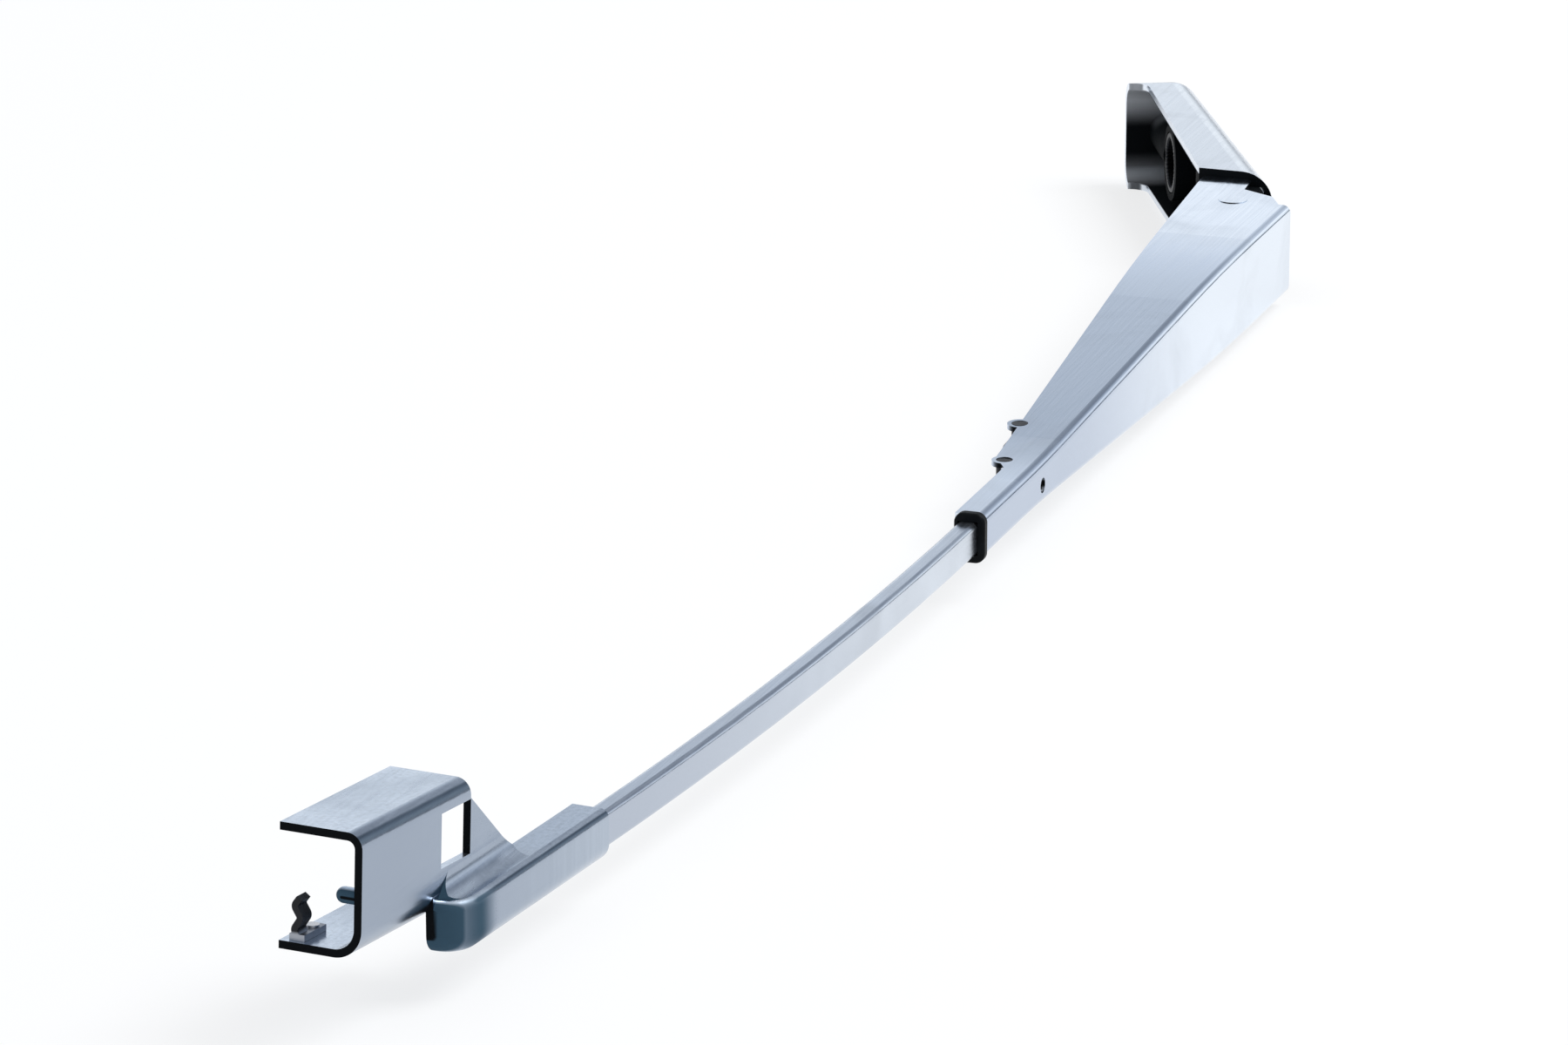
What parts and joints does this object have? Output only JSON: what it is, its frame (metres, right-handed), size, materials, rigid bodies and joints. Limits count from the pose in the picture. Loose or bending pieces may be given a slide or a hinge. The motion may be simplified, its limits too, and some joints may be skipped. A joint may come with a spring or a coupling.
{
  "type": "wiper arm",
  "caption": "Polished sprung windscreen wiper arm: hollow hinged head, tapered folded channel, curved flat bar and a saddle clip for the blade.",
  "frame": {"origin": "centre of the hub bore, halfway along the bush", "axes": "+X along the channel towards the blade clip, +Y away from the glass, +Z parallel to the hinge pin; the arm lies on its side"},
  "size_m": [0.4569, 0.0507, 0.029],
  "materials": {
    "polished_chrome": "mirror polished, slightly streaked along the rolling direction",
    "bright_steel": "turned bright steel",
    "spring_steel": "blackened spring steel, lightly oiled",
    "black_plastic": "moulded black, satin"
  },
  "bodies": {
    "head": {"head_shell": "polished_chrome", "hub_bush": "bright_steel", "clamp_screw": "bright_steel", "spring_pin": "bright_steel"},
    "arm": {"hinge_pin": "bright_steel", "hinge_washer_upper": "bright_steel", "hinge_washer_lower": "bright_steel", "arm_channel": "polished_chrome", "tension_spring": "spring_steel", "spring_anchor": "bright_steel", "bar_pin": "bright_steel", "web_rivet": "bright_steel", "arm_bar": "polished_chrome", "neck_collar": "black_plastic", "saddle_clip": "polished_chrome", "latch_tongue": "spring_steel", "latch_rivet": "bright_steel"}
  },
  "joints": [
    {"name": "arm_hinge", "type": "hinge", "parent": "head", "child": "arm", "pos_m": [0.05225, 0.02282, 0], "axis": [0, 0, 1], "range_deg": [0, 80], "stiffness_Nm_per_rad": 1, "springref_deg": -45.84, "deforming": ["tension_spring"]}
  ]
}
